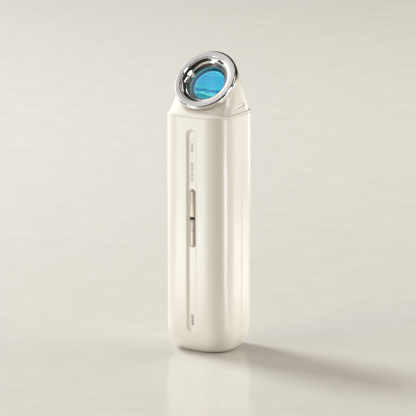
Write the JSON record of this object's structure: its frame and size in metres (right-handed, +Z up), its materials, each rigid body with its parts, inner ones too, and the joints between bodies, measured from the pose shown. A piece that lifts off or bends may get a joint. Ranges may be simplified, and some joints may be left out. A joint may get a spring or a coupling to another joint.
{
  "type": "acne treatment device",
  "caption": "Slim hand-held skin treatment light on its base: rounded casing, tilted chrome treatment ring with a tinted window, and a button bar in a long groove.",
  "frame": {"origin": "centre of the underside, on the surface the device stands on", "axes": "+Z up along the casing, -Y out of the control groove, +X to the user's right as the groove is seen from in front"},
  "size_m": [0.044, 0.04, 0.1792],
  "materials": {
    "ivory_plastic": "glossy ivory",
    "bead_plastic": "glossy ivory",
    "polished_chrome": "polished, with a satin face on the ring",
    "champagne_metal": "satin champagne anodising",
    "rose_gold": "polished rose gold",
    "tinted_glass": "clear blue-green",
    "mint_plastic": "translucent mint",
    "soft_rubber": "matt",
    "black_plastic": "matt",
    "white_plastic": "matt",
    "circuit_board": "solder mask",
    "dark_aluminium": "dark anodised",
    "cell_sleeve": "printed sleeve without text",
    "steel": "plain"
  },
  "bodies": {
    "casing": {"base_bracket": "white_plastic", "base_pad": "soft_rubber", "base_screws": "steel", "battery_cell": "cell_sleeve", "battery_contacts": "steel", "battery_cradle": "white_plastic", "board_chips": "black_plastic", "board_connectors": "black_plastic", "board_screws": "steel", "charge_board": "circuit_board", "charge_port": "steel", "cradle_screws": "steel", "filter_disc": "tinted_glass", "front_shell": "ivory_plastic", "head_shell": "ivory_plastic", "heat_sink": "dark_aluminium", "heat_sink_screws": "steel", "indicator_leds": "white_plastic", "indicator_lower": "mint_plastic", "indicator_upper": "mint_plastic", "led_board": "circuit_board", "led_chips": "white_plastic", "led_flex": "circuit_board", "lens_barrel": "black_plastic", "lens_bezel": "rose_gold", "lens_gasket": "soft_rubber", "main_board": "circuit_board", "mode_switch": "black_plastic", "neck_frame": "white_plastic", "neck_screws": "steel", "neck_seal": "soft_rubber", "port_tongue": "black_plastic", "power_switch": "black_plastic", "rear_shell": "ivory_plastic", "reflector_cup": "polished_chrome", "retaining_ring": "dark_aluminium", "ring_collar": "champagne_metal", "shoulder_ring": "bead_plastic", "treatment_lens": "tinted_glass", "treatment_ring": "polished_chrome"},
    "mode_key": {"mode_button": "champagne_metal", "mode_plunger": "white_plastic"},
    "power_key": {"power_button": "champagne_metal", "power_plunger": "white_plastic"}
  },
  "joints": [
    {"name": "mode_press", "type": "slide", "parent": "casing", "child": "mode_key", "axis": [0, 1, 0], "range_m": [0, 0.0005], "stiffness_N_per_m": 4000},
    {"name": "power_press", "type": "slide", "parent": "casing", "child": "power_key", "axis": [0, 1, 0], "range_m": [0, 0.0005], "stiffness_N_per_m": 4000}
  ]
}
